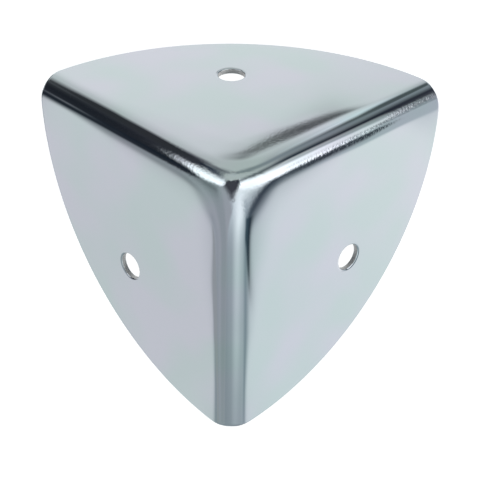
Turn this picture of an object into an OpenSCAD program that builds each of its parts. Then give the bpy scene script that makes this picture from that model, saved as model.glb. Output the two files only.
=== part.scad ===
// Three-way case corner: one sheet of steel, pressed so that it covers three edges and the
// corner of a case. It is modelled with its point at the origin and its legs along +X, +Y and
// +Z, then turned point up, so that its inner faces lie on the case's three planes.

/* [Sheet] */
// Length of each leg, from the outer face at its root to the tip
leg_length = 40; // [33:1:70]
// Thickness of the sheet
sheet_t = 0.8; // [0.5:0.1:1.5]

/* [Bends] */
// Outside radius of the bend between two leaves
bend_r = 3; // [2:0.1:4]
// How far in from both edges a flat leaf's blunted corner starts
corner_reach = 5.7; // [4.8:0.1:7]

/* [Screw holes] */
// Diameter of each punched hole
hole_d = 4; // [2.5:0.1:6]
// Distance of a hole's centre from the outer face that it is nearer to
hole_near = 20.8; // [12:0.1:23]
// Distance of a hole's centre from the outer face that it is farther from
hole_far = 22.5; // [12:0.1:24]
// Radius that the punch leaves on a hole's outer edge
hole_roll = 0.2; // [0.1:0.05:0.4]

/* [Hidden] */

// The blunted corner ends where a point's distances from the three outer faces add up to this.
blunt_sum = 2 * corner_reach;
// Height at which the straight edge of a flat leaf begins.
edge_start = blunt_sum - bend_r;
// Height above which a bend is a plain quarter cylinder.
bend_start = blunt_sum - (2 - sqrt(2)) * bend_r;
// All three rims lie on one sphere about the point where the bends' axes meet.
rim_r = norm([leg_length - bend_r, bend_r - sheet_t]);
// The plates and bends are drawn this much longer than the sphere that trims them.
overlong = 2;
// The pressed corner's ends run this far into the plain bends.
lap = 0.3;
// How much nearer the middle of the sheet a lapped end's two skins lie.
lap_inset = 0.01;

// Facets of the pressed corner: around half a bend, up the blunted corner, up to the bend.
arc_steps = 10;
blunt_steps = 8;
fade_steps = 3;
// How much a row's middle leans to the point: where the bends meet and where the blunting ends.
root_lean = 1;
edge_lean = 0.2;
// Below 1, the lean holds for longer and then drops faster.
lean_power = 0.8;
// Halvings of the interval in which a point of the outer skin is looked for.
halvings = 40;
// Facets of a full circle.
round_fn = 96;

// Repeats a child about the corner's diagonal, once for each leaf.
module three_ways() {
    for (turn = [0 : 2])
        rotate(120 * turn, [1, 1, 1])
            children();
}

function beyond(limit, value) = max(limit - value, 0);

// Where this comes to bend_r, a point lies on the outer skin: a bend answers to its distance
// from two faces, and the blunted corner to the sum of all three.
function outward(p) = norm([beyond(bend_r, p.x), beyond(bend_r, p.y), beyond(bend_r, p.z),
                            beyond(blunt_sum, p.x + p.y + p.z) / sqrt(3)]);

// Unit normal of the skin at a point, pointing into the sheet.
function inward(p) = let (blunt = beyond(blunt_sum, p.x + p.y + p.z) / 3,
                          n = [for (v = p) beyond(bend_r, v) + blunt])
    n / norm(n);

// Distance from a point inside the corner, along a ray, to the outer skin.
function reach(from, ray, low, high, left) =
    left == 0 ? (low + high) / 2
    : let (mid = (low + high) / 2)
      outward(from + mid * ray) < bend_r ? reach(from, ray, mid, high, left - 1)
                                         : reach(from, ray, low, mid, left - 1);

// Rows of the corner along the bend on +Z: the end of each row on the flat leaf, as its
// distance from the edge and its height, and how much the row's middle leans to the point.
rows = [
    for (i = [0 : blunt_steps]) let (f = i / blunt_steps)
        [corner_reach + (bend_r - corner_reach) * f,
         corner_reach + (edge_start - corner_reach) * f,
         edge_lean + (root_lean - edge_lean) * pow(1 - f, lean_power)],
    for (i = [1 : fade_steps]) let (f = i / fade_steps)
        [bend_r, edge_start + (bend_start - edge_start) * f, edge_lean * (1 - f)]];

// Outer skin of half a row, from the flat leaf on x = 0 to the middle of the bend.
function half_row(row) = let (from = [row[0], row[0], row[1]],
                              across = [0, 1, row[2]] / norm([1, row[2]]),
                              middle = atan(norm([1, row[2]])))
    [for (i = [0 : arc_steps])
        let (ray = -[cos(middle * i / arc_steps), 0, 0] - sin(middle * i / arc_steps) * across)
        from + reach(from, ray, 0, norm(from), halvings) * ray];

// Both halves of a row: the second is the first one's mirror image.
function whole_row(half) = [each half,
                            for (i = [arc_steps - 1 : -1 : 0]) [half[i].y, half[i].x, half[i].z]];

outer_rows = [for (row = rows) whole_row(half_row(row))];
inner_rows = [for (row = outer_rows) [for (p = row) p + sheet_t * inward(p)]];

// A row across the plain bend at a height, on a cylinder of the given radius.
function bend_row(r, height) = [for (i = [0 : 2 * arc_steps])
    let (a = 45 * i / arc_steps)
    [bend_r - r * cos(a), bend_r - r * sin(a), height]];

// Each skin, row by row, ends in a row that lies buried in the plain bend.
skins = [[each outer_rows, bend_row(bend_r - lap_inset, bend_start + lap)],
         [each inner_rows, bend_row(bend_r - sheet_t + lap_inset, bend_start + lap)]];
row_count = len(skins[0]);
row_points = 2 * arc_steps + 1;

// The third of the pressed corner on +Z, and the same points moved on to the next axis.
third = [for (skin = skins) each [for (row = skin) each row]];
function next_axis(points) = [for (p = points) [p.z, p.x, p.y]];

// The four corners of a facet, given in order, as two triangles.
function facet(a, b, c, d) = [[a, b, c], [a, c, d]];

// Facets of one third, whose points start at an index: both skins, both sides and the end.
function third_facets(first) = let (
    outer = function (row, i) first + row * row_points + i,
    inner = function (row, i) outer(row + row_count, i),
    right = row_points - 1,
    end = row_count - 1)
    [for (row = [0 : end - 1]) each [
        for (i = [0 : right - 1]) each [
            each facet(outer(row, i), outer(row + 1, i), outer(row + 1, i + 1), outer(row, i + 1)),
            each facet(inner(row, i + 1), inner(row + 1, i + 1), inner(row + 1, i), inner(row, i))],
        each facet(outer(row + 1, 0), outer(row, 0), inner(row, 0), inner(row + 1, 0)),
        each facet(outer(row, right), outer(row + 1, right), inner(row + 1, right),
                   inner(row, right))],
     for (i = [0 : right - 1])
        each facet(outer(end, i + 1), outer(end, i), inner(end, i), inner(end, i + 1))];

// The pressed corner, where the three bends run together and flare into the leaves.
module pressed_corner() {
    polyhedron(points = [each third, each next_axis(third), each next_axis(next_axis(third))],
               faces = [for (k = [0 : 2]) each third_facets(k * len(third))]);
}

// A flat leaf on z = 0, before its rim is trimmed: its inner edge follows the pressed corner.
module leaf() {
    edge = [for (row = rows) [row[0], row[1]]];
    far = leg_length + overlong;
    linear_extrude(sheet_t)
        polygon([each edge, [bend_r, far], [far, far], [far, bend_r],
                 for (i = [len(edge) - 1 : -1 : 1]) [edge[i][1], edge[i][0]]]);
}

// The plain part of the bend along +Z, before its end is trimmed.
module bend() {
    start = bend_start + lap / 2;
    translate([bend_r, bend_r, start])
        rotate(180)
            rotate_extrude(angle = 90, $fn = round_fn)
                translate([bend_r - sheet_t, 0])
                    square([sheet_t, leg_length + overlong - start]);
}

// What the punch takes out of a leaf on z = 0: the hole, and its rolled edge on the outer side.
module punched_hole() {
    hole_r = hole_d / 2;
    mouth_r = hole_r + hole_roll;
    translate([hole_far, hole_near, 0])
        rotate_extrude($fn = round_fn)
            difference() {
                polygon([[0, -overlong], [mouth_r, -overlong], [mouth_r, hole_roll],
                         [hole_r, hole_roll], [hole_r, overlong], [0, overlong]]);
                translate([mouth_r, hole_roll])
                    circle(hole_roll, $fn = round_fn);
            }
}

module case_corner() {
    translate([-sheet_t, -sheet_t, sheet_t])
        rotate(180, [1, 1, 0])
            difference() {
                intersection() {
                    union() {
                        pressed_corner();
                        three_ways() {
                            leaf();
                            bend();
                        }
                    }
                    translate([bend_r, bend_r, bend_r])
                        sphere(rim_r, $fn = 2 * round_fn);
                }
                three_ways()
                    punched_hole();
            }
}

color("gainsboro")
        case_corner();
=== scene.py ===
"""Looks of the case corner: one bright-plated steel pressing, its studio and its camera."""

import logging
import math
from dataclasses import dataclass, field
from enum import Enum

import bmesh
import bpy
import numpy as np
from mathutils import Matrix, Vector


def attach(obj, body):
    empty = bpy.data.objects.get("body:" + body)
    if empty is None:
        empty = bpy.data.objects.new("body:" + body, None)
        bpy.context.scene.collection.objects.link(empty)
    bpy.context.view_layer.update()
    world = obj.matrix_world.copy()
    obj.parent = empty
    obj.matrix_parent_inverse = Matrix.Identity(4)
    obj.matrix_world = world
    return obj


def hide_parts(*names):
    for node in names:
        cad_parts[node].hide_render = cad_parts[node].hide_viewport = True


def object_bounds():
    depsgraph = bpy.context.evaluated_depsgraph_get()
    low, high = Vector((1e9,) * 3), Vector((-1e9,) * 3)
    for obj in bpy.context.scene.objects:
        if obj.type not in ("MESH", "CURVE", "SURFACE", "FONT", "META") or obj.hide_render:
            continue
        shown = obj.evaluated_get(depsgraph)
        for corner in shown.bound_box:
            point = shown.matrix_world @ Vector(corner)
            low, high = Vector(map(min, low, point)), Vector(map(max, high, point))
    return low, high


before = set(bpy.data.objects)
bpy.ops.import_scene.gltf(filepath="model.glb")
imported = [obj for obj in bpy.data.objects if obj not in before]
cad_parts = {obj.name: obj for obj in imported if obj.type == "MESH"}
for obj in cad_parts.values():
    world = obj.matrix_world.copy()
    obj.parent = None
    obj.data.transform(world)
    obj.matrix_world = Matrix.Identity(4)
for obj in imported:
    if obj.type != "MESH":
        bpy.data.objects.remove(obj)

CAD_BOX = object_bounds()
LOG = logging.getLogger("case_corner")
MM = 0.001
WHITE = (1.0, 1.0, 1.0, 1.0)
Tree = bpy.types.NodeTree
Socket = bpy.types.NodeSocket
# A divisor is taken as this at least.
TINY = 1e-12


class Skin(Enum):
    """The two skins of the sheet, by the share of its thickness that they lie at."""

    OUTER = 0.0
    INNER = 1.0


class Field(Enum):
    """What is stored at each point of the mesh for the finish to read."""

    DEPTH = "sheet_depth"
    STRETCH = "stretch"


# ---------------- small tools


def linear(code: str) -> tuple[float, float, float, float]:
    """Turns an sRGB hex code into the linear colour that a shader socket takes.

    Args:
        code: Six hex digits, such as "c8d0d6".

    Returns:
        Linear red, green and blue, and an alpha of 1.
    """
    out = []
    for k in (0, 2, 4):
        c = int(code[k : k + 2], 16) / 255
        out.append(c / 12.92 if c <= 0.04045 else ((c + 0.055) / 1.055) ** 2.4)
    return (out[0], out[1], out[2], 1.0)


def smooth(t: np.ndarray) -> np.ndarray:
    """Eases a ramp from 0 to 1 at both ends."""
    t = np.clip(t, 0, 1)
    return t * t * (3 - 2 * t)


@dataclass(frozen=True)
class Span:
    """A run of some measure in which something shows, with eased ends.

    It begins at its start and shows fully a rise further on. From its end it fades, and it
    is gone a fall further on. A span with nothing given has no ends.
    """

    start: float = -math.inf
    rise: float = 1.0
    end: float = math.inf
    fall: float = 1.0

    def share(self, at: np.ndarray, sooner: np.ndarray | float = 0.0) -> np.ndarray:
        """How fully it shows at each value, from 0 to 1, where it ends sooner by so much."""
        begun = smooth((at - self.start) / self.rise)
        return begun * (1 - smooth((at + sooner - self.end) / self.fall))


def add_node(
    tree: Tree,
    kind: str,
    settings: dict[str, object] | None = None,
    links: dict[int | str, object] | None = None,
) -> bpy.types.Node:
    """Adds a node, gives it its settings and feeds its inputs.

    Args:
        tree: The node tree to add to.
        kind: The node's type identifier.
        settings: Attributes of the node to set.
        links: For each input, by index or name, an output socket to link or a value to set.

    Returns:
        The new node.
    """
    node = tree.nodes.new(kind)
    for key, value in (settings or {}).items():
        setattr(node, key, value)
    for key, value in (links or {}).items():
        if isinstance(value, Socket):
            tree.links.new(value, node.inputs[key])
        else:
            node.inputs[key].default_value = value
    return node


# ---------------- the pressing's form


@dataclass(frozen=True)
class PressedForm:
    """The skin of the pressing, in millimetres, with its sharp point at the origin.

    The three legs run along +u, +v and +w. A point's level rises towards the outside, and
    where it comes to the bend's radius the point lies on the outer skin.
    """

    # The drawn sizes: leg, sheet, bend radius, and where the corner's blunting ends.
    leg: float = 40.0
    sheet: float = 0.8
    bend_r: float = 3.0
    blunt_sum: float = 10.14
    # Half the width over which a bend begins: at the tips, at the corner, how fast the one
    # turns into the other, and the same half width for the corner's blunting.
    onset_tip: float = 1.0
    onset_root: float = 1.46
    onset_fade: float = 4.9
    blunt_onset: float = 3.83
    # The leaf's faint flare beside a bend, left by the drawing of the corner: its width, and
    # how far along the bend it is full and has narrowed to nothing; its slope; how far into
    # the bend it reaches; and how far from the corner it is fully there.
    flare_wide: float = 6.12
    flare_full: float = 4.0
    flare_end: float = 33.8
    flare_tilt: float = 0.047
    flare_deep: float = 1.0
    flare_start: float = 9.2
    # Its least width, and how many times narrower it gets before it grows shallower too.
    flare_least: float = 0.02
    flare_narrowing: float = 3.0
    # How the skin is found: half the step that its slope is read over, and the halvings.
    slope_step: float = 0.004
    halvings: int = 42
    # Where the middle of a bend is measured: places, how far past the tip, and how deep.
    ridge_places: int = 2400
    ridge_past: float = 5.0
    ridge_deep: float = 8.0

    @staticmethod
    def ramp(short: np.ndarray, onset: np.ndarray | float) -> np.ndarray:
        """How far a distance falls short of its limit, eased in over the onset on both sides.

        Args:
            short: The limit less the distance.
            onset: Half the width over which the ramp eases in.

        Returns:
            The eased shortfall, 0 where the distance is well past the limit.
        """
        eased = (short + onset) ** 2 / (4 * onset)
        return np.where(short <= -onset, 0.0, np.where(short >= onset, short, eased))

    def flare(self, p: np.ndarray) -> np.ndarray:
        """How far the skin sinks beside and across the bends.

        Args:
            p: Points, along the last axis.

        Returns:
            The sinking at each point.
        """
        sink = np.zeros(p.shape[:-1])
        for k in range(3):
            along = p[..., k]
            wide = self.flare_wide * (self.flare_end - along) / (self.flare_end - self.flare_full)
            wide = np.clip(wide, self.flare_least, self.flare_wide)
            across = (wide + self.flare_deep) / 2
            full = np.clip(self.flare_narrowing * wide / self.flare_wide, 0, 1)
            both = self.flare_tilt * across * full
            for other in ((k + 1) % 3, (k + 2) % 3):
                short = self.bend_r - p[..., other]
                leaf = np.clip(short + wide, 0, wide) ** 2 / (2 * wide)
                deep = np.clip(short, 0, self.flare_deep)
                both = both * (leaf + deep - deep**2 / (2 * self.flare_deep)) / across
            sink = sink + both * smooth(along / self.flare_start)
        return sink

    def level(self, p: np.ndarray) -> np.ndarray:
        """How far out points lie.

        Args:
            p: Points, along the last axis.

        Returns:
            The level of each: the bend's radius on the outer skin, and less inside it.
        """
        total = p.sum(-1)
        onset = self.onset_tip + (self.onset_root - self.onset_tip) * np.exp(
            -np.maximum(total - self.blunt_sum, 0) / self.onset_fade
        )
        squares = sum(self.ramp(self.bend_r - p[..., k], onset) ** 2 for k in range(3))
        blunt = self.ramp(self.blunt_sum - total, self.blunt_onset) / math.sqrt(3)
        return np.sqrt(squares + blunt**2) + self.flare(p)

    def inward(self, p: np.ndarray) -> np.ndarray:
        """Unit normals into the sheet.

        Args:
            p: Points of the skin, along the last axis.

        Returns:
            The normal at each.
        """
        steps = self.slope_step * np.eye(3)
        slope = np.stack([self.level(p - step) - self.level(p + step) for step in steps], -1)
        return slope / np.maximum(np.linalg.norm(slope, axis=-1, keepdims=True), TINY)

    def halved(self, outside: np.ndarray, inside: np.ndarray) -> np.ndarray:
        """Finds the outer skin between points on its two sides.

        Args:
            outside: Points outside the skin.
            inside: As many points inside it.

        Returns:
            The skin's point between each two.
        """
        for _ in range(self.halvings):
            middle = (outside + inside) / 2
            out = (self.level(middle) > self.bend_r)[..., None]
            outside = np.where(out, middle, outside)
            inside = np.where(out, inside, middle)
        return inside

    def ridge(self) -> tuple[np.ndarray, np.ndarray]:
        """How far the middle of a bend lies from both faces.

        Returns:
            Places along the bend's edge, and the distance at each.
        """
        along = np.linspace(0, self.leg + self.ridge_past, self.ridge_places)
        low = np.stack([along, np.zeros_like(along), np.zeros_like(along)], -1)
        deep = np.array([0.0, self.ridge_deep, self.ridge_deep])
        return along, self.halved(low, low + deep)[..., 1]

    def lifted(self, u: np.ndarray, v: np.ndarray) -> np.ndarray:
        """Finds the outer skin over the leaf that lies on w = 0.

        Args:
            u: Distances along one leg.
            v: Distances along the other leg.

        Returns:
            The skin's point at each place.
        """
        clear = 0.5
        outside = np.stack([u, v, np.full_like(u, -clear)], -1)
        inside = np.stack([u, v, np.maximum(np.minimum(u, v), clear) + clear], -1)
        return self.halved(outside, inside)


@dataclass
class LeafThird:
    """One third of the pressing: a leaf, out to the middle of the two bends beside it.

    All sizes are in millimetres. The grid's lines run along the two bends and swing round
    towards the rim, and both skins share it.
    """

    form: PressedForm
    # The punched hole: its centre from the two outer faces, its radius, the width and depth
    # that the punch drew its outer edge in by, and the burr that it left inside.
    hole_near: float = 20.8
    hole_far: float = 22.5
    hole_r: float = 1.95
    hole_roll: float = 0.38
    hole_roll_deep: float = 0.12
    hole_burr: float = 0.06
    # The share of the sheet's depth at which the hole's wall has a row of its own, and how far
    # past the roll and the burr the flat guard rings lie.
    wall_row: float = 0.6
    guard_outer: float = 0.12
    guard_inner: float = 0.14
    # The sheared rim: the radius that its outer edge is rounded to on a leaf and across the
    # middle of a bend, where bending drew it over, and how far from the middle the second has
    # settled to the first. Its inner edge has one radius all round.
    rim_roll_leaf: float = 0.05
    rim_roll_bend: float = 0.5
    rim_settle: float = 3.2
    rim_roll_in: float = 0.07
    roll_steps: int = 5
    round_points: int = 72
    # How wide a margin round the hole is filled afresh, and how far past it the grid's nearest
    # open edges may lie. Points are welded this near, and lie level with a skin this near.
    margin: float = 1.5
    margin_slack: float = 4.0
    weld: float = 1e-5
    level_slack: float = 1e-4
    # How the grid is laid: the rounds that settle a place, between which distances the rim is
    # sought and by how many halvings, and how late the grid's lines swing round to the rim.
    settle_rounds: int = 30
    rim_between: tuple[float, float] = (15.0, 45.0)
    rim_halvings: int = 36
    swing_power: float = 1.5
    # The grid's bands: how far in from the middle of a bend each ends, and its rows.
    bands: tuple[tuple[float, int], ...] = (
        (2.6, 22), (7.5, 22), (14.0, 14), (30.0, 18), (36.85, 9), (37.0, 1),
    )
    verts: list[tuple[float, float, float]] = field(default_factory=list)
    faces: list[tuple[int, ...]] = field(default_factory=list)
    # Places along a bend, and how far its middle lies from both faces at each.
    ridge_line: tuple[np.ndarray, np.ndarray] = field(init=False)

    def __post_init__(self) -> None:
        """Measures the middle of the bends once."""
        self.ridge_line = self.form.ridge()

    @property
    def rim_radius(self) -> float:
        """Radius of the sphere that all three rims lie on."""
        f = self.form
        return math.hypot(f.leg - f.bend_r, f.bend_r - f.sheet)

    @property
    def quarter_turn(self) -> list[float]:
        """Angles of a rounding's rows, from 0 to a right angle."""
        return [math.radians(90 * k / self.roll_steps) for k in range(self.roll_steps + 1)]

    def shares(self) -> np.ndarray:
        """Places the grid's lines.

        Returns:
            Their places, from 0 at the middle of a bend to 1 at the rim.
        """
        out, start = [0.0], 0.0
        for end, count in self.bands:
            out += list(np.linspace(start, end, count + 1)[1:])
            start = end
        return np.array(out) / start

    def placed(self, a: np.ndarray, b: np.ndarray) -> np.ndarray:
        """Skin points at distances from the middles of the two bends.

        Args:
            a: Distance in from the middle of the bend along v.
            b: Distance in from the middle of the bend along u.

        Returns:
            Points of the outer skin.
        """
        u, v = a + self.form.bend_r, b + self.form.bend_r
        # Each bend's middle shifts along the bend, so the two places settle together.
        for _ in range(self.settle_rounds):
            u, v = a + np.interp(v, *self.ridge_line), b + np.interp(u, *self.ridge_line)
        return self.form.lifted(u, v)

    def rim_roll(self, away: np.ndarray) -> np.ndarray:
        """Radius of the rim's outer edge, at distances in from the middle of a bend."""
        drawn = 1 - smooth(away / self.rim_settle)
        return self.rim_roll_leaf + (self.rim_roll_bend - self.rim_roll_leaf) * drawn

    def rim_reach(self, share: np.ndarray) -> np.ndarray:
        """How far out the rim's rounding starts, towards places on the grid's outer side.

        Args:
            share: Places on the outer side, from 0 at the bend to 1 at the diagonal.

        Returns:
            Distances that put the points a rounding's radius inside the rim's sphere.
        """
        low, high = (np.full_like(share, limit) for limit in self.rim_between)
        for _ in range(self.rim_halvings):
            middle = (low + high) / 2
            p = self.placed(middle, middle * share)
            radius = self.rim_radius - self.rim_roll(middle * share)
            out = np.linalg.norm(p - self.form.bend_r, axis=-1) > radius
            low, high = np.where(out, low, middle), np.where(out, middle, high)
        return (low + high) / 2

    def outer_grid(self) -> tuple[np.ndarray, np.ndarray]:
        """Lays the outer skin's square grid, up to where the rim's rounding starts.

        Returns:
            The grid's points, and how far in from the middle of a bend those of a side lie.
        """
        s = self.shares()
        reach = self.rim_reach(s)
        a, b = np.meshgrid(s, s, indexing="ij")
        big, small = np.maximum(a, b), np.minimum(a, b)
        # The grid is square near the corner, and its lines swing round to the rim farther out.
        share = small / np.maximum(big, TINY)
        swing = big**self.swing_power
        scale = reach[0] * (1 + swing * (np.interp(share, s, reach) / reach[0] - 1))
        return self.placed(a * scale, b * scale), s * scale[-1]

    def add_points(self, points: np.ndarray) -> list[int]:
        """Keeps points for the mesh.

        Args:
            points: A row of points.

        Returns:
            Their indices.
        """
        start = len(self.verts)
        self.verts += [tuple(map(float, p)) for p in points]
        return list(range(start, len(self.verts)))

    def add_strip(self, first: list[int], second: list[int], closed: bool = False) -> None:
        """Joins two rows of the same length by four-sided faces.

        Args:
            first: Indices of the row on the left, seen from outside with the row going up.
            second: Indices of the row on the right.
            closed: Whether the rows are rings.
        """
        count = len(first)
        for k in range(count if closed else count - 1):
            n = (k + 1) % count
            self.faces.append((first[k], second[k], second[n], first[n]))

    def rim_rows(self, skin: np.ndarray, into: np.ndarray, roll: np.ndarray) -> list[np.ndarray]:
        """Rows of points over the rim, from the outer skin's edge to the inner skin's.

        Args:
            skin: The outer skin's last row.
            into: Its normals, into the sheet.
            roll: The radius of the outer edge at each.

        Returns:
            The rows in order.
        """
        away = skin - self.form.bend_r
        away -= (away * into).sum(-1, keepdims=True) * into
        away /= np.linalg.norm(away, axis=-1, keepdims=True)
        rows, roll_out, roll_in = [], roll[:, None], self.rim_roll_in
        for t in self.quarter_turn[1:]:
            rows.append(skin + away * roll_out * math.sin(t) + into * roll_out * (1 - math.cos(t)))
        for t in self.quarter_turn:
            out = roll_out - roll_in + roll_in * math.cos(t)
            depth = self.form.sheet - roll_in + roll_in * math.sin(t)
            rows.append(skin + away * out + into * depth)
        return rows

    def hole_rings(self) -> list[list[int]]:
        """Adds the points of the punched hole, ring by ring.

        Returns:
            The rings, from the guard on the outer skin to that on the inner one.
        """
        turn = np.linspace(0, 2 * math.pi, self.round_points, endpoint=False)
        circle = np.stack([np.cos(turn), np.sin(turn)], -1)
        sheet, roll, burr = self.form.sheet, self.hole_roll, self.hole_burr
        # Each ring's distance outside the bore, and its depth in the sheet.
        profile = [(roll + self.guard_outer, 0.0)]
        for t in self.quarter_turn:
            profile.append((roll * (1 - math.sin(t)), self.hole_roll_deep * (1 - math.cos(t))))
        profile += [
            (0.0, sheet * self.wall_row), (0.0, sheet - burr), (burr / 3, sheet - burr / 3),
            (burr, sheet), (burr + self.guard_inner, sheet),
        ]
        rings = []
        for out, depth in profile:
            flat = circle * (self.hole_r + out) + (self.hole_far, self.hole_near)
            rings.append(self.add_points(np.column_stack([flat, np.full(len(flat), depth)])))
        return rings

    def add_skins(self, outer: np.ndarray, into: np.ndarray) -> dict[Skin, np.ndarray]:
        """Adds both skins' points, and their faces except round the hole.

        Args:
            outer: The outer skin's grid.
            into: Its normals, into the sheet.

        Returns:
            The grid of point indices of each skin.
        """
        size = len(outer)
        hole = np.array([self.hole_far, self.hole_near])
        kept = np.linalg.norm(outer[..., :2] - hole, axis=-1) > self.hole_r + self.margin
        skins = {}
        for skin in Skin:
            points = outer + into * self.form.sheet * skin.value
            grid = np.array(self.add_points(points.reshape(-1, 3))).reshape(size, size)
            skins[skin] = grid
            for i in range(size - 1):
                for j in range(size - 1):
                    if kept[i : i + 2, j : j + 2].all():
                        ends = (grid[i, j], grid[i, j + 1], grid[i + 1, j + 1], grid[i + 1, j])
                        quad = tuple(map(int, ends))
                        self.faces.append(quad if skin is Skin.OUTER else quad[::-1])
        return skins

    def build(self) -> bpy.types.Mesh:
        """Builds the third's mesh, in metres, in the CAD frame.

        Returns:
            A mesh of the leaf on top of the case, open along the middles of its bends.
        """
        outer, away = self.outer_grid()
        roll = self.rim_roll(away)
        into = self.form.inward(outer)
        skins = self.add_skins(outer, into)
        for where, turned in ((np.s_[-1, :], False), (np.s_[:, -1], True)):
            rim = self.rim_rows(outer[where], into[where], roll)
            rows = [skins[Skin.OUTER][where].tolist()]
            rows += [self.add_points(row) for row in rim]
            rows.append(skins[Skin.INNER][where].tolist())
            for first, second in zip(rows, rows[1:]):
                self.add_strip(*((first, second) if turned else (second, first)))
        rings = self.hole_rings()
        for first, second in zip(rings, rings[1:]):
            self.add_strip(first, second, closed=True)
        mesh = bpy.data.meshes.new("leaf_third")
        mesh.from_pydata(self.verts, [], self.faces)
        self.fill_margin(mesh)
        self.to_frame(mesh)
        return mesh

    def fill_margin(self, mesh: bpy.types.Mesh) -> None:
        """Fills the flat sheet between the grid and the hole's guard rings, on both skins.

        Args:
            mesh: The mesh to fill.
        """
        bm = bmesh.new()
        bm.from_mesh(mesh)
        bmesh.ops.remove_doubles(bm, verts=bm.verts[:], dist=self.weld)
        loose = [v for v in bm.verts if not v.link_faces]
        bmesh.ops.delete(bm, geom=loose, context="VERTS")
        hole = Vector((self.hole_far, self.hole_near))
        near = self.hole_r + self.margin + self.margin_slack
        for depth in (0.0, self.form.sheet):
            edges = [
                e for e in bm.edges
                if len(e.link_faces) == 1 and all(
                    abs(v.co.z - depth) < self.level_slack and (v.co.xy - hole).length < near
                    for v in e.verts
                )
            ]
            made = bmesh.ops.triangle_fill(bm, use_beauty=True, use_dissolve=False, edges=edges)
            for face in (g for g in made["geom"] if isinstance(g, bmesh.types.BMFace)):
                face.normal_update()
                if (face.normal.z > 0) != (depth > 0):
                    face.normal_flip()
        bm.to_mesh(mesh)
        bm.free()

    def to_frame(self, mesh: bpy.types.Mesh) -> None:
        """Moves the mesh to the CAD frame, in metres: u along +Y, v along +X and w down."""
        s = self.form.sheet * MM
        mesh.transform(Matrix(((0, MM, 0, -s), (MM, 0, 0, -s), (0, 0, -MM, s), (0, 0, 0, 1))))


@dataclass(frozen=True)
class StretchedZone:
    """A zone that pressing stretched, told by which way its skin faces and by its place.

    Places are distances from the sharp point along the right, the left and the lower bend, in
    millimetres.
    """

    strength: float
    # How far the skin faces up, from 0 on the two walls to 1 on the top leaf.
    facing_up: Span
    right: Span = Span()
    left: Span = Span()
    down: Span = Span()
    # How far the skin tilts from all three faces. It doesn't on a flat leaf, which stays plain.
    tilt: Span = Span(start=0.0015, rise=0.02)
    # How much lower down its side the zone ends on the right bend, and how that sets in.
    right_lower: float = 0.0
    lowering: Span = Span(start=4.0, rise=4.0)

    def stretch(self, p: np.ndarray, into: np.ndarray) -> np.ndarray:
        """How hard the metal was stretched at points of the pressing.

        Args:
            p: Points, along the last axis.
            into: Their normals, into the sheet.

        Returns:
            The stretch at each point.
        """
        lower = self.right_lower * self.lowering.share(p[:, 0])
        shown = self.facing_up.share(into[:, 2], sooner=lower)
        for along, span in enumerate((self.right, self.left, self.down)):
            shown *= span.share(p[:, along])
        return self.strength * shown * self.tilt.share(1 - into.max(-1))


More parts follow.
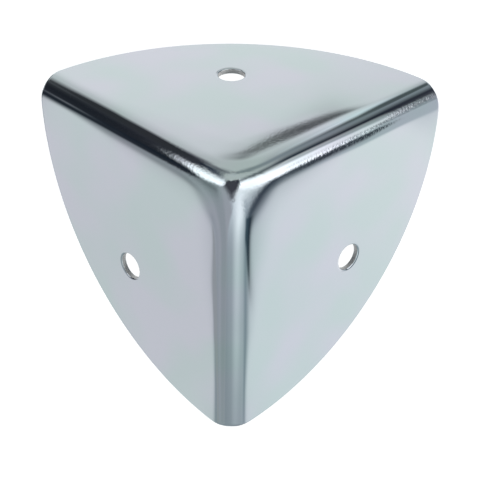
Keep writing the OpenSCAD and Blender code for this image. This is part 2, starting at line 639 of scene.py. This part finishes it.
@dataclass
class CaseCorner:
    """The whole pressing, made of one third that is turned twice about the corner's diagonal."""

    third: LeafThird
    finish: "BrightPlate"
    leaves: int = 3
    # The diagonal, from the sharp point into the case.
    diagonal: tuple[float, float, float] = (1.0, 1.0, -1.0)
    # Points nearer than this are one, in metres.
    weld: float = 2e-6
    # Height and length of the faint waves that pressing leaves in the sheet, in metres.
    wave_height: float = 1.2e-5
    wave_length: float = 0.009
    wave_seed: float = 4.0
    zones: tuple[StretchedZone, ...] = (
        # The bends beside the corner.
        StretchedZone(
            0.75, Span(0.04, 0.14, 0.86, 0.14), right=Span(end=20.0, fall=18.0),
            left=Span(end=12.0, fall=5.0), down=Span(end=5.0, fall=8.0), right_lower=0.44,
        ),
        # The upper side of the left bend, some way from the corner: the hardest stretched.
        StretchedZone(1.9, Span(0.45, 0.2, 0.72, 0.1), left=Span(3.0, 4.0, 10.5, 3.0)),
        # The far end of the right bend.
        StretchedZone(1.5, Span(0.4, 0.1, 0.64, 0.1), right=Span(start=28.0, rise=3.0)),
        # The top leaf beside the right bend: the least stretched.
        StretchedZone(
            0.3, Span(start=0.98, rise=0.01), right=Span(5.0, 4.0, 18.0, 8.0),
            left=Span(3.2, 0.6, 5.2, 1.8), tilt=Span(),
        ),
    )

    def turning_tree(self) -> Tree:
        """Builds the tree that turns the third about the diagonal, welds it and waves it.

        Returns:
            The node tree, with an input for each size and one for the finish.
        """
        tree = bpy.data.node_groups.new("three_way_turn", "GeometryNodeTree")
        for name, kind in (
            ("Third", "Geometry"), ("Leaves", "Int"), ("Weld distance", "Float"),
            ("Wave height", "Float"), ("Wave length", "Float"), ("Wave seed", "Float"),
            ("Finish", "Material"),
        ):
            tree.interface.new_socket(name, in_out="INPUT", socket_type=f"NodeSocket{kind}")
        tree.interface.new_socket("Pressing", in_out="OUTPUT", socket_type="NodeSocketGeometry")
        given = add_node(tree, "NodeGroupInput").outputs
        index = add_node(tree, "GeometryNodeInputIndex")
        step = add_node(
            tree, "ShaderNodeMath", {"operation": "DIVIDE"}, {0: 2 * math.pi, 1: given["Leaves"]}
        )
        angle = add_node(
            tree, "ShaderNodeMath", {"operation": "MULTIPLY"},
            {0: index.outputs[0], 1: step.outputs[0]},
        )
        turn = add_node(
            tree, "FunctionNodeAxisAngleToRotation", None,
            {"Axis": self.diagonal, "Angle": angle.outputs[0]},
        )
        points = add_node(tree, "GeometryNodePoints", None, {"Count": given["Leaves"]})
        copies = add_node(
            tree, "GeometryNodeInstanceOnPoints", None,
            {"Points": points.outputs[0], "Instance": given["Third"], "Rotation": turn.outputs[0]},
        )
        real = add_node(tree, "GeometryNodeRealizeInstances", None, {0: copies.outputs[0]})
        welded = add_node(
            tree, "GeometryNodeMergeByDistance", None,
            {"Geometry": real.outputs[0], "Distance": given["Weld distance"]},
        )
        place = add_node(tree, "GeometryNodeInputPosition")
        often = add_node(
            tree, "ShaderNodeMath", {"operation": "DIVIDE"}, {0: 1.0, 1: given["Wave length"]}
        )
        noise = add_node(
            tree, "ShaderNodeTexNoise", {"noise_dimensions": "4D"},
            {
                "Vector": place.outputs[0], "W": given["Wave seed"], "Scale": often.outputs[0],
                "Detail": 1.0,
            },
        )
        # The waves only go inwards, +X, +Y and -Z, so the outer faces stay in the CAD box.
        inwards = add_node(
            tree, "ShaderNodeVectorMath", {"operation": "SUBTRACT"},
            {0: noise.outputs["Color"], 1: (0.0, 0.0, 1.0)},
        )
        shift = add_node(
            tree, "ShaderNodeVectorMath", {"operation": "SCALE"},
            {0: inwards.outputs[0], "Scale": given["Wave height"]},
        )
        waved = add_node(
            tree, "GeometryNodeSetPosition", None,
            {"Geometry": welded.outputs[0], "Offset": shift.outputs[0]},
        )
        soft = add_node(tree, "GeometryNodeSetShadeSmooth", None, {"Geometry": waved.outputs[0]})
        dressed = add_node(
            tree, "GeometryNodeSetMaterial", None,
            {"Geometry": soft.outputs[0], "Material": given["Finish"]},
        )
        add_node(tree, "NodeGroupOutput", None, {0: dressed.outputs[0]})
        return tree

    def turned(self) -> bpy.types.Mesh:
        """Runs the tree on the third.

        Returns:
            The whole pressing as a plain mesh, with the finish on it.
        """
        leaf = bpy.data.objects.new("leaf_third", self.third.build())
        bpy.context.scene.collection.objects.link(leaf)
        tree = self.turning_tree()
        modifier = leaf.modifiers.new("turn", "NODES")
        modifier.node_group = tree
        given = {
            "Leaves": self.leaves, "Weld distance": self.weld, "Wave height": self.wave_height,
            "Wave length": self.wave_length, "Wave seed": self.wave_seed,
            "Finish": self.finish.build(),
        }
        for item in tree.interface.items_tree:
            if item.in_out == "INPUT" and item.name in given:
                modifier[item.identifier] = given[item.name]
        graph = bpy.context.evaluated_depsgraph_get()
        mesh = bpy.data.meshes.new_from_object(leaf.evaluated_get(graph))
        leaf.modifiers.remove(modifier)
        bpy.data.objects.remove(leaf)
        return mesh

    def mark(self, mesh: bpy.types.Mesh) -> None:
        """Stores how deep in the sheet each point lies, and how hard it was stretched.

        Args:
            mesh: The pressing's mesh, in metres.
        """
        form = self.third.form
        place = np.empty(len(mesh.vertices) * 3)
        mesh.vertices.foreach_get("co", place)
        # Distances from the sharp point along the right, the left and the lower bend.
        p = place.reshape(-1, 3) / MM * (1, 1, -1) + form.sheet
        into = form.inward(p)
        stored = {
            Field.DEPTH: np.clip((form.bend_r - form.level(p)) / form.sheet, 0, 1),
            Field.STRETCH: sum(zone.stretch(p, into) for zone in self.zones),
        }
        for kind, values in stored.items():
            layer = mesh.attributes.new(kind.value, "FLOAT", "POINT")
            layer.data.foreach_set("value", values.astype(np.float32))

    def build(self) -> bpy.types.Object:
        """Builds the pressing and rides it on the CAD body.

        Returns:
            The finished piece, a plain mesh.
        """
        mesh = self.turned()
        mesh.name = "pressed_corner"
        self.mark(mesh)
        piece = bpy.data.objects.new("pressed_corner", mesh)
        bpy.context.scene.collection.objects.link(piece)
        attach(piece, "root")
        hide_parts("case_corner")
        return piece


# ---------------- finishes


@dataclass(frozen=True)
class BrightPlate:
    """Bright nickel-chrome plate on cold-rolled steel.

    Barrel-polished and plated after pressing: a mirror with a faint cool cast that drifts a
    little with the plate's thickness. Stretched metal has a fine orange peel under the plate,
    punched and sheared edges are duller, with a lighter colour that is a painted highlight on
    their rounded edges, and plate is thin on the inner skin.
    """

    plate_cool: str = "c4d1d3"
    plate_warm: str = "cccfd9"
    # The sheared edges' colour, lighter than the plate: a painted highlight on the rounded rim and
    # hole edges.
    sheared_and_highlight: str = "dedddc"
    inner: str = "a6acb0"
    roughness: float = 0.04
    haze: float = 0.03
    sheared_roughness: float = 0.6
    inner_roughness: float = 0.24
    # The noise values between which the plate's cast turns from cool to warm.
    cast_turn: tuple[float, float] = (0.36, 0.64)
    # The shares of the sheet's depth between which sheared metal and the inner skin begin.
    sheared_from: tuple[float, float] = (0.13, 0.17)
    inner_from: tuple[float, float] = (0.93, 0.99)
    # Real sizes, in metres: drift of the plate's cast, orange peel, and its height.
    cast_size: float = 0.011
    peel_size: float = 3.8e-4
    peel_height: float = 1.6e-5
    # A polishing mop's hairlines are some 0.02 mm apart, drawn coarser here so that they show.
    hairline_gap: float = 1.6e-4
    hairline_height: float = 6.0e-8
    # How many gaps long they are, and how they are turned, in radians.
    hairline_long: float = 30.0
    hairline_turn: tuple[float, float, float] = (0.3, 0.5, 0.4)

    def build(self) -> bpy.types.Material:
        """Builds the plate's material.

        Returns:
            The material.
        """
        made = bpy.data.materials.new("bright_chrome_plate")
        made.use_nodes = True
        tree = made.node_tree
        tree.nodes.clear()
        place = add_node(tree, "ShaderNodeTexCoord").outputs["Object"]
        sheared_and_highlight, inner = self.masks(tree)
        cast = add_node(
            tree, "ShaderNodeTexNoise", None,
            {"Vector": place, "Scale": 1 / self.cast_size, "Detail": 1.0},
        )
        cool, warm = self.cast_turn
        drift = add_node(
            tree, "ShaderNodeMapRange", None, {0: cast.outputs["Fac"], 1: cool, 2: warm}
        )
        haze = add_node(
            tree, "ShaderNodeMapRange", None,
            {0: cast.outputs["Fac"], 3: self.roughness, 4: self.roughness + self.haze},
        )
        colour, rough = linear(self.plate_cool), haze.outputs[0]
        # Where the sheet is sheared, the lighter colour is a painted highlight on the rounded
        # edges.
        for share, tint in (
            (drift.outputs[0], self.plate_warm), (inner, self.inner), (sheared_and_highlight, self.sheared_and_highlight),
        ):
            colour = add_node(
                tree, "ShaderNodeMix", {"data_type": "RGBA"},
                {0: share, 6: colour, 7: linear(tint)},
            ).outputs[2]
        for share, dull in ((inner, self.inner_roughness), (sheared_and_highlight, self.sheared_roughness)):
            rough = add_node(
                tree, "ShaderNodeMix", {"data_type": "FLOAT"}, {0: share, 2: rough, 3: dull}
            ).outputs[0]
        shader = add_node(
            tree, "ShaderNodeBsdfPrincipled", None,
            {
                "Base Color": colour, "Metallic": 1.0, "Roughness": rough,
                "Normal": self.relief(tree, place),
            },
        )
        add_node(tree, "ShaderNodeOutputMaterial", None, {0: shader.outputs[0]})
        return made

    def masks(self, tree: Tree) -> tuple[Socket, Socket]:
        """Adds the shares of sheared edge and of inner skin, from the depth in the sheet.

        Args:
            tree: The material's tree.

        Returns:
            The two sockets.
        """
        depth = add_node(
            tree, "ShaderNodeAttribute", {"attribute_name": Field.DEPTH.value}
        ).outputs["Fac"]
        cut, inner = (
            add_node(tree, "ShaderNodeMapRange", None, {0: depth, 1: low, 2: high}).outputs[0]
            for low, high in (self.sheared_from, self.inner_from)
        )
        sheared_and_highlight = add_node(
            tree, "ShaderNodeMath", {"operation": "SUBTRACT", "use_clamp": True},
            {0: cut, 1: inner},
        )
        return sheared_and_highlight.outputs[0], inner

    def relief(self, tree: Tree, place: Socket) -> Socket:
        """Adds the hairlines, and the orange peel where the metal was stretched.

        Args:
            tree: The material's tree.
            place: Socket of the place on the piece.

        Returns:
            Socket of the normal.
        """
        often = 1 / self.hairline_gap
        lines = add_node(
            tree, "ShaderNodeMapping", {"vector_type": "POINT"},
            {
                "Vector": place, "Rotation": self.hairline_turn,
                "Scale": (often, often / self.hairline_long, often),
            },
        )
        hair = add_node(
            tree, "ShaderNodeTexNoise", None,
            {"Vector": lines.outputs[0], "Scale": 1.0, "Detail": 1.0},
        )
        fine = add_node(
            tree, "ShaderNodeBump", None,
            {"Height": hair.outputs["Fac"], "Distance": self.hairline_height},
        )
        stretch = add_node(
            tree, "ShaderNodeAttribute", {"attribute_name": Field.STRETCH.value}
        )
        peel = add_node(
            tree, "ShaderNodeTexNoise", None,
            {"Vector": place, "Scale": 1 / self.peel_size, "Detail": 2.0, "Roughness": 0.6},
        )
        raised = add_node(
            tree, "ShaderNodeMath", {"operation": "MULTIPLY"},
            {0: peel.outputs["Fac"], 1: stretch.outputs["Fac"]},
        )
        return add_node(
            tree, "ShaderNodeBump", None,
            {
                "Height": raised.outputs[0], "Distance": self.peel_height,
                "Normal": fine.outputs[0],
            },
        ).outputs[0]


@dataclass(frozen=True)
class WhitePaper:
    """Matt white background paper, lit evenly: plain white, with the object's faint shadow."""

    paper: str = "f4f4f4"
    # The light added to it where the camera sees it, which brings it up to white.
    lift: float = 0.55

    def build(self) -> bpy.types.Material:
        """Builds the paper's material.

        Returns:
            The material.
        """
        made = bpy.data.materials.new("white_background_paper")
        made.use_nodes = True
        tree = made.node_tree
        tree.nodes.clear()
        matt = add_node(tree, "ShaderNodeBsdfDiffuse", None, {"Color": linear(self.paper)})
        glow = add_node(
            tree, "ShaderNodeEmission", None, {"Color": WHITE, "Strength": self.lift}
        )
        both = add_node(
            tree, "ShaderNodeAddShader", None, {0: matt.outputs[0], 1: glow.outputs[0]}
        )
        path = add_node(tree, "ShaderNodeLightPath")
        seen = add_node(
            tree, "ShaderNodeMixShader", None,
            {0: path.outputs["Is Camera Ray"], 1: matt.outputs[0], 2: both.outputs[0]},
        )
        add_node(tree, "ShaderNodeOutputMaterial", None, {0: seen.outputs[0]})
        return made


# ---------------- studio


@dataclass(frozen=True)
class Card:
    """A card, cloth or lamp box round the object, by its bearing from it, in degrees.

    The bearing is 0 towards the camera and positive to the camera's right.
    """

    name: str
    bearing: float
    height: float
    half_width: float
    half_height: float
    # Half the width over which each pair of edges fades.
    soft_across: float
    soft_up: float
    # How far the card leans sideways with height, and how far it climbs with bearing.
    lean: float
    climb: float
    light: float
    tint: str


@dataclass
class Studio:
    """A white tent with its lamp boxes, dark cloths, grey table cards and paper floor."""

    camera_azimuth: float
    # The light of the tent's own walls.
    walls: float = 1.081
    # Each stands before those above it. In turn: bearing and height, half width and height,
    # softness across and up, lean and climb, light and tint.
    cards: tuple[Card, ...] = (
        Card("table_all_round", 0, -72, 400, 21, 5, 4, 0, 0, 0.45, "eef6fa"),
        Card("table_front", -9.2, -43.2, 86.2, 42.5, 6.6, 3.0, 0.46, 0.34, 0.43, "edfaff"),
        Card("table_glare", -25.6, -0.7, 60.0, 22.0, 18.1, 25.3, -1.66, -0.13, 0.88, "f2fcff"),
        Card("left_wall_low", -142.5, -48.5, 33.4, 48.9, 5.7, 9.2, 1.86, -0.61, 0.84, "fdfeff"),
        Card("ceiling", 11.1, 88.0, 400.0, 54.3, 5.8, 19.7, 0, 0, 0.69, "fafffb"),
        Card("left_dark_cloth", -96.8, 18.4, 12.4, 44.8, 8.5, 6.6, -0.34, 0.17, 0.030, "d2e1ff"),
        Card("dark_over_left", -120.8, 47.8, 46.9, 11.1, 26.4, 6.6, 2.28, -0.53, 0.065, "e7ecff"),
        Card(
            "dark_over_left_box", -82.5, 60.4, 38.9, 15.0, 30.3, 21.8, -2.50, -0.03, 0.044, "3898ff"
        ),
        Card("left_lamp_box", -60.1, 28.2, 33.6, 24.6, 3.4, 22.3, -0.58, 0.43, 1.85, "fdfdff"),
        Card("under_left_box", -104.8, -14.5, 10.9, 36.9, 3.1, 8.0, 0.98, -0.36, 0.017, "00b1ff"),
        Card("camera_cloth", -9.9, 34.9, 33.5, 32.2, 6.3, 0.5, 0.36, 0.03, 0.088, "eceeff"),
        Card("right_lamp_box", 58.5, 26.1, 30.7, 22.7, 1.5, 11.0, 0.25, -0.79, 1.85, "fdfdff"),
        Card("right_dark_blob", 73.5, -18.0, 20.3, 17.5, 6.8, 18.0, -1.39, 1.60, 0.094, "cae3ff"),
        Card("right_rear_cloth", 126.1, 19.2, 21.6, 32.3, 7.1, 5.9, -0.48, 0.23, 0.046, "ccdbff"),
        Card("right_rear_wall", 132.6, 48.0, 60.0, 16.3, 30.3, 15.5, 1.75, -0.85, 0.36, "ecf9ff"),
        Card("right_rear_edge", 147.2, 44.0, 26.2, 3.2, 14.9, 1.2, 2.50, -0.41, 0.13, "e9fdff"),
        Card("grey_mid_left", -46.8, -10.5, 44.3, 49.4, 5.4, 17.2, 1.07, -0.82, 0.52, "f5fbff"),
        Card("right_low_light", 32.6, -4.9, 20.7, 26.5, 20.2, 15.7, -0.13, 0.23, 1.30, "f9fffe"),
        Card("rear_right_light", 162.6, 40.3, 1.8, 0.5, 6.3, 6.6, -0.75, -0.51, 2.23, "edfcff"),
        Card("rear_right_slit", 174.5, 30.6, 2.7, 2.3, 1.4, 3.4, -0.88, 0.77, 0.042, "dfe8f4"),
        Card("right_edge_cloth", 71.1, -29.7, 5.9, 3.3, 2.9, 0.7, -0.80, -0.24, 0.040, "b0d6ff"),
        Card("dark_over_right_box", 65.7, 51.5, 57.5, 4.7, 1.3, 11.2, 2.22, -0.29, 0.040, "00b7ff"),
        Card("rear_left_strip", -132.9, 71.2, 3.5, 21.7, 17.0, 1.1, 0.54, 0.13, 0.14, "ecedff"),
        Card("rear_right_strip", 136.6, 81.7, 31.4, 45.8, 26.0, 25.0, 2.20, -0.75, 0.34, "f1feff"),
        Card("zenith_strip", 20.0, 89.1, 400.0, 3.6, 5.3, 7.3, 0, 0, 0.68, "faffff"),
        Card("left_table_line", -79.0, -39.9, 5.0, 16.5, 1.1, 1.5, -1.39, 1.00, 0.45, "f8ffff"),
        Card("bend_streak_left", -52.4, -12.6, 17.7, 43.4, 9.1, 6.4, -0.45, 0.90, 0.45, "f2fdff"),
        Card("bend_streak_right", 68.1, -30.9, 0.8, 24.7, 13.2, 9.8, -0.87, -0.14, 0.23, "beebff"),
        Card("left_slit", -93.2, -2.2, 40.1, 0.5, 5.0, 23.9, -0.09, 0.31, 0.074, "e5ecff"),
        Card("left_rear_low_wall", -134.0, -29.0, 26.0, 24.0, 3.0, 4.0, 0, 0, 0.80, "ffffff"),
        Card("left_band_line", -94.3, 3.1, 0.8, 2.7, 2.4, 3.7, 0.08, -0.02, 0.29, "f6f8ff"),
        Card("left_bend_top", -119.3, 43.5, 8.0, 9.6, 3.4, 4.6, -1.39, 0.21, 0.046, "ebf3ff"),
        Card("right_bend_grey", 90.7, -11.2, 6.5, 14.2, 0.6, 1.3, 0.06, -0.39, 0.67, "f1fbff"),
        Card("right_bend_line", 84.5, -11.7, 2.2, 9.9, 0.8, 4.2, -0.14, 0.54, 0.070, "d3e6ff"),
        Card("right_bend_dark", 94.5, 21.5, 11.1, 4.7, 8.0, 3.9, -0.19, 1.02, 0.19, "f4f5ff"),
        Card("right_bend_glint", 86.6, 18.7, 2.8, 6.4, 2.0, 7.8, 0.68, -0.60, 1.13, "fdfeff"),
        Card("rear_slit_over", 178.6, 37.9, 0.8, 6.1, 5.1, 5.0, 0.16, 0.11, 0.061, "dfe8f4"),
        Card("rear_slit_side", 177.1, 31.8, 1.1, 1.4, 1.0, 4.1, 0.63, 0.10, 0.008, "dfe8f4"),
        Card("top_corner_line", 168.0, 80.6, 22.9, 0.8, 2.1, 1.5, 0.00, -0.02, 0.23, "ffffff"),
        Card("left_rear_cloth", -128, 19, 24, 14, 5, 5, 0, 0, 0.05, "dfe8f4"),
        Card("rear_low_wall", 174, -22, 38, 40, 6, 6, 0, 0, 0.85, "f4fafc"),
    )
    # In metres: how far the floor lies below the lowest tip, and half its side.
    floor_drop: float = 0.12
    floor_half: float = 3.0

    def build_world(self) -> None:
        """Builds the world: plain white to the camera, and the tent's cards to the plate."""
        world = bpy.data.worlds.new("studio")
        bpy.context.scene.world = world
        world.use_nodes = True
        tree = world.node_tree
        tree.nodes.clear()
        bearing, height = self.directions(tree)
        seen = (self.walls, self.walls, self.walls, 1.0)
        for card in self.cards:
            seen = self.add_card(tree, card, bearing, height, seen)
        path = add_node(tree, "ShaderNodeLightPath")
        white = add_node(
            tree, "ShaderNodeMix", {"data_type": "RGBA"},
            {0: path.outputs["Is Camera Ray"], 6: seen, 7: WHITE},
        )
        shine = add_node(tree, "ShaderNodeBackground", None, {"Color": white.outputs[2]})
        add_node(tree, "ShaderNodeOutputWorld", None, {0: shine.outputs[0]})

    def directions(self, tree: Tree) -> tuple[Socket, Socket]:
        """Adds the nodes that give a direction's bearing and height, in degrees.

        Args:
            tree: The world's tree.

        Returns:
            The sockets of the bearing and the height.
        """
        where = add_node(tree, "ShaderNodeTexCoord")
        turned = add_node(
            tree, "ShaderNodeVectorRotate", {"rotation_type": "Z_AXIS"},
            {"Vector": where.outputs["Generated"], "Angle": -math.radians(self.camera_azimuth)},
        )
        parts = add_node(tree, "ShaderNodeSeparateXYZ", None, {0: turned.outputs[0]})
        back = add_node(
            tree, "ShaderNodeMath", {"operation": "MULTIPLY"}, {0: parts.outputs["Y"], 1: -1.0}
        )
        around = add_node(
            tree, "ShaderNodeMath", {"operation": "ARCTAN2"},
            {0: parts.outputs["X"], 1: back.outputs[0]},
        )
        rise = add_node(
            tree, "ShaderNodeMath", {"operation": "ARCSINE"}, {0: parts.outputs["Z"]}
        )
        bearing, height = (
            add_node(
                tree, "ShaderNodeMath", {"operation": "DEGREES"}, {0: angle.outputs[0]}
            ).outputs[0]
            for angle in (around, rise)
        )
        return bearing, height

    def add_card(
        self, tree: Tree, card: Card, bearing: Socket, height: Socket, behind: object
    ) -> Socket:
        """Stands one card before what is behind it.

        Args:
            tree: The world's tree.
            card: The card.
            bearing: Socket of the direction's bearing.
            height: Socket of the direction's height.
            behind: Socket or value of the light so far.

        Returns:
            The socket of the light with the card in place.
        """
        gone = add_node(
            tree, "ShaderNodeMath", {"operation": "SUBTRACT"}, {0: bearing, 1: card.bearing}
        )
        side = add_node(
            tree, "ShaderNodeMath", {"operation": "WRAP"},
            {0: gone.outputs[0], 1: 180.0, 2: -180.0},
        )
        up = add_node(
            tree, "ShaderNodeMath", {"operation": "SUBTRACT"}, {0: height, 1: card.height}
        )
        inside = []
        for one, other, slant, half, soft in (
            (side, up, card.lean, card.half_width, card.soft_across),
            (up, side, card.climb, card.half_height, card.soft_up),
        ):
            off = add_node(
                tree, "ShaderNodeMath", {"operation": "MULTIPLY_ADD"},
                {0: other.outputs[0], 1: -slant, 2: one.outputs[0]},
            )
            away = add_node(
                tree, "ShaderNodeMath", {"operation": "ABSOLUTE"}, {0: off.outputs[0]}
            )
            edge = add_node(
                tree, "ShaderNodeMapRange", {"interpolation_type": "SMOOTHSTEP"},
                {0: away.outputs[0], 1: half - soft, 2: half + soft, 3: 1.0, 4: 0.0},
            )
            inside.append(edge.outputs[0])
        cover = add_node(
            tree, "ShaderNodeMath", {"operation": "MULTIPLY", "label": card.name},
            {0: inside[0], 1: inside[1]},
        )
        shade = tuple(c * card.light for c in linear(card.tint)[:3]) + (1.0,)
        mixed = add_node(
            tree, "ShaderNodeMix", {"data_type": "RGBA"},
            {0: cover.outputs[0], 6: behind, 7: shade},
        )
        return mixed.outputs[2]

    def build_floor(self) -> None:
        """Builds the plain pale floor, below the lowest tip.

        It is hidden from glossy rays, so the plate doesn't mirror it and sees the world's table
        cards there instead.
        """
        low, half = CAD_BOX[0].z - self.floor_drop, self.floor_half
        ends = [(-half, -half, low), (half, -half, low), (half, half, low), (-half, half, low)]
        mesh = bpy.data.meshes.new("floor")
        mesh.from_pydata(ends, [], [(0, 1, 2, 3)])
        mesh.materials.append(WhitePaper().build())
        floor = bpy.data.objects.new("floor", mesh)
        bpy.context.scene.collection.objects.link(floor)
        floor.visible_glossy = False


@dataclass(frozen=True)
class StudioCamera:
    """The camera at the photograph's place, in millimetres and degrees."""

    target: tuple[float, float, float] = (7.2, 7.2, -7.2)
    azimuth: float = -42.98
    elevation: float = 31.28
    roll: float = 0.42
    distance: float = 166.0
    lens: float = 94.15
    sensor: float = 36.0
    # Shares of the frame's width.
    shift: tuple[float, float] = (0.01187, -0.09731)
    # The nearest and farthest that the camera sees, in metres.
    clips: tuple[float, float] = (0.01, 20.0)

    def build(self) -> bpy.types.Object:
        """Builds the camera and makes it the scene's.

        Returns:
            The camera.
        """
        az, el, roll = map(math.radians, (self.azimuth, self.elevation, self.roll))
        back = Vector((math.sin(az) * math.cos(el), -math.cos(az) * math.cos(el), math.sin(el)))
        level = (-back).cross(Vector((0, 0, 1))).normalized()
        plumb = level.cross(-back)
        right = math.cos(roll) * level + math.sin(roll) * plumb
        up = math.cos(roll) * plumb - math.sin(roll) * level
        data = bpy.data.cameras.new("camera")
        data.lens, data.sensor_width = self.lens, self.sensor
        data.shift_x, data.shift_y = self.shift
        data.clip_start, data.clip_end = self.clips
        camera = bpy.data.objects.new("camera", data)
        bpy.context.scene.collection.objects.link(camera)
        place = Matrix.Translation((Vector(self.target) + back * self.distance) * MM)
        camera.matrix_world = place @ Matrix((right, up, back)).transposed().to_4x4()
        bpy.context.scene.camera = camera
        return camera


def main() -> None:
    """Builds the studio, the camera and the pressing."""
    logging.basicConfig(level=logging.INFO, format="%(name)s: %(message)s")
    bpy.context.scene.view_settings.view_transform = "Standard"
    camera = StudioCamera()
    studio = Studio(camera.azimuth)
    studio.build_world()
    studio.build_floor()
    LOG.info("studio: %d cards", len(studio.cards))
    LOG.info("camera: %.2f mm lens", camera.build().data.lens)
    piece = CaseCorner(LeafThird(PressedForm()), BrightPlate()).build()
    made = piece.data
    LOG.info("%s: %d points, %d faces", piece.name, len(made.vertices), len(made.polygons))


if __name__ == "__main__":
    main()
